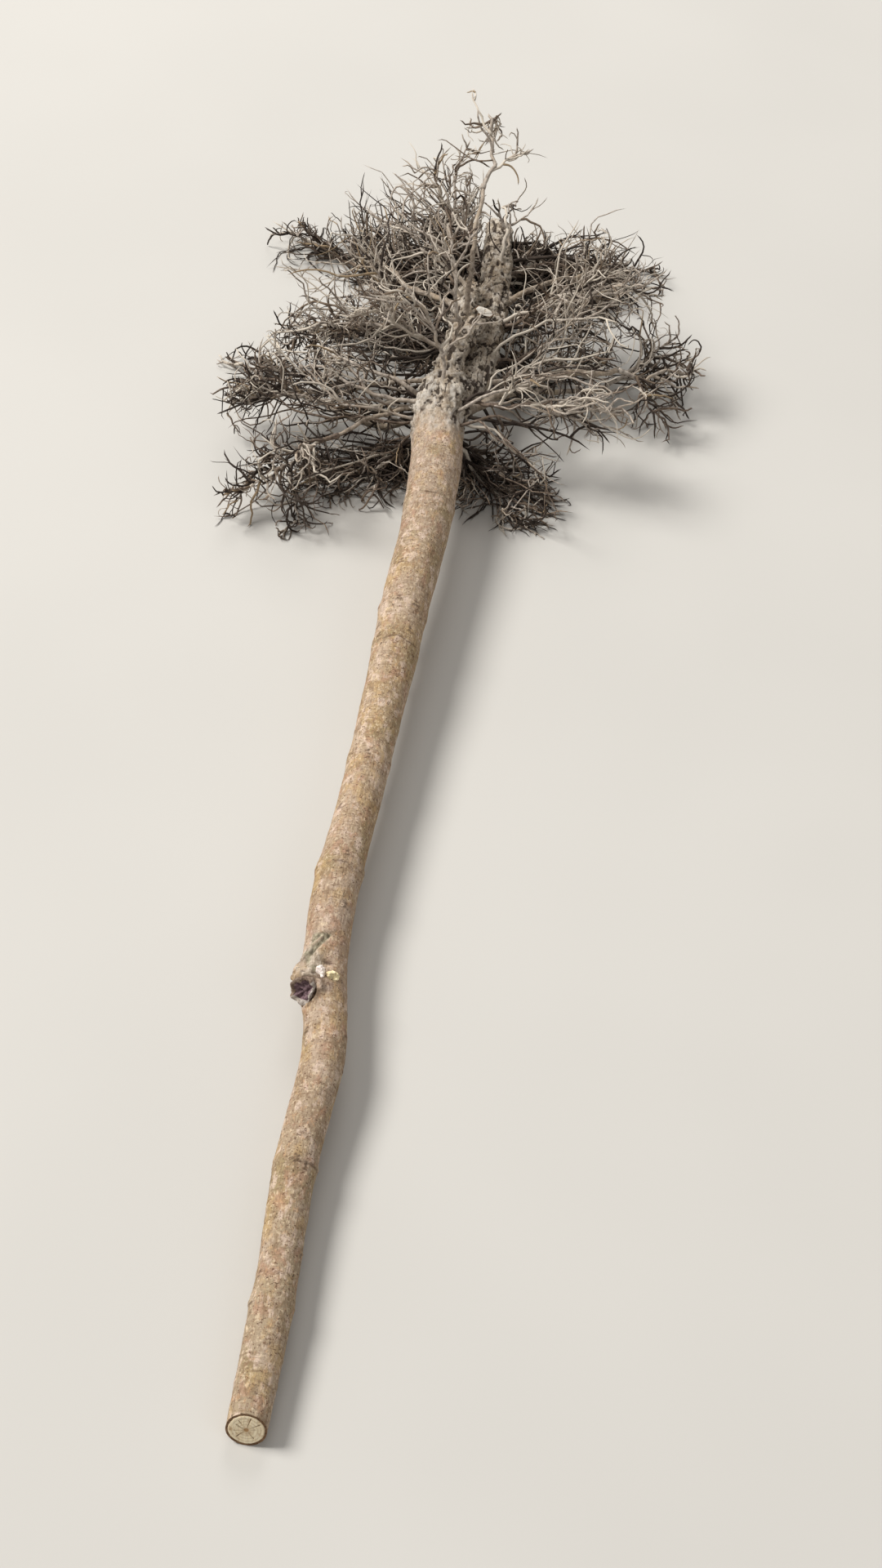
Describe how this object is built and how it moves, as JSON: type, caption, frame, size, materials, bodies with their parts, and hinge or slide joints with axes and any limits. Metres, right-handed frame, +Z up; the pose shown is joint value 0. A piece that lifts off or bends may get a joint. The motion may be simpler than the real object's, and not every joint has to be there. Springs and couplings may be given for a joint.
{
  "type": "bare-rooted sapling",
  "caption": "Leafless young tree with a long knotted stem, its top cut off, a forked tap root and wiry bare roots, lying on the ground.",
  "frame": {"origin": "middle of the lying tree's outline, on the ground under it", "axes": "+Z up, +Y along the stem from the cut top towards the roots, +X to the right when looking that way"},
  "size_m": [0.3684, 1.0613, 0.1615],
  "materials": {
    "bark": "matt tan-brown bark with fine pale and dark flecks along the stem",
    "root_bark": "matt grey-tan root bark, rough and cracked, dusted with soil",
    "side_root_bark": "matt grey-brown wrinkled bark of thin roots",
    "fine_root_bark": "matt dark grey-brown fine roots",
    "dead_wood": "dry weathered wood, grey at the rim and dark inside",
    "pale_wood": "freshly cut pale wood",
    "yellow_wood": "freshly broken yellowish wood"
  },
  "bodies": {
    "root": {"stem": "bark", "tap_root": "root_bark", "fork_root": "root_bark", "cut_root": "root_bark", "dead_branch": "dead_wood", "broken_end_pale": "pale_wood", "broken_end_yellow": "yellow_wood", "side_root_right": "side_root_bark", "side_root_left_near": "side_root_bark", "side_root_left_far": "side_root_bark", "side_root_low_left": "side_root_bark", "side_root_low_right": "side_root_bark", "side_root_rising": "side_root_bark", "side_root_back_left": "side_root_bark", "side_root_back_right": "side_root_bark", "fine_roots_collar_left": "fine_root_bark", "fine_roots_collar_top": "fine_root_bark", "fine_roots_collar_right": "fine_root_bark", "fine_roots_collar_under": "fine_root_bark", "fine_roots_collar_low_right": "fine_root_bark", "fine_roots_fork_left": "fine_root_bark", "fine_roots_fork_top": "fine_root_bark", "fine_roots_fork_back": "fine_root_bark", "fine_roots_tap_right": "fine_root_bark", "fine_roots_tap_under": "fine_root_bark", "fine_roots_tap_middle_right": "fine_root_bark", "fine_roots_tap_left": "fine_root_bark", "fine_roots_tap_top": "fine_root_bark", "fine_roots_tap_low_right": "fine_root_bark", "fine_roots_tip_right": "fine_root_bark", "fine_roots_tip_left_near": "fine_root_bark", "fine_roots_tip_left_far": "fine_root_bark", "fine_roots_tip_low_left": "fine_root_bark", "fine_roots_tip_low_right": "fine_root_bark", "fine_roots_tip_rising": "fine_root_bark", "fine_roots_tip_back_left": "fine_root_bark", "fine_roots_tip_back_right": "fine_root_bark"}
  },
  "joints": []
}
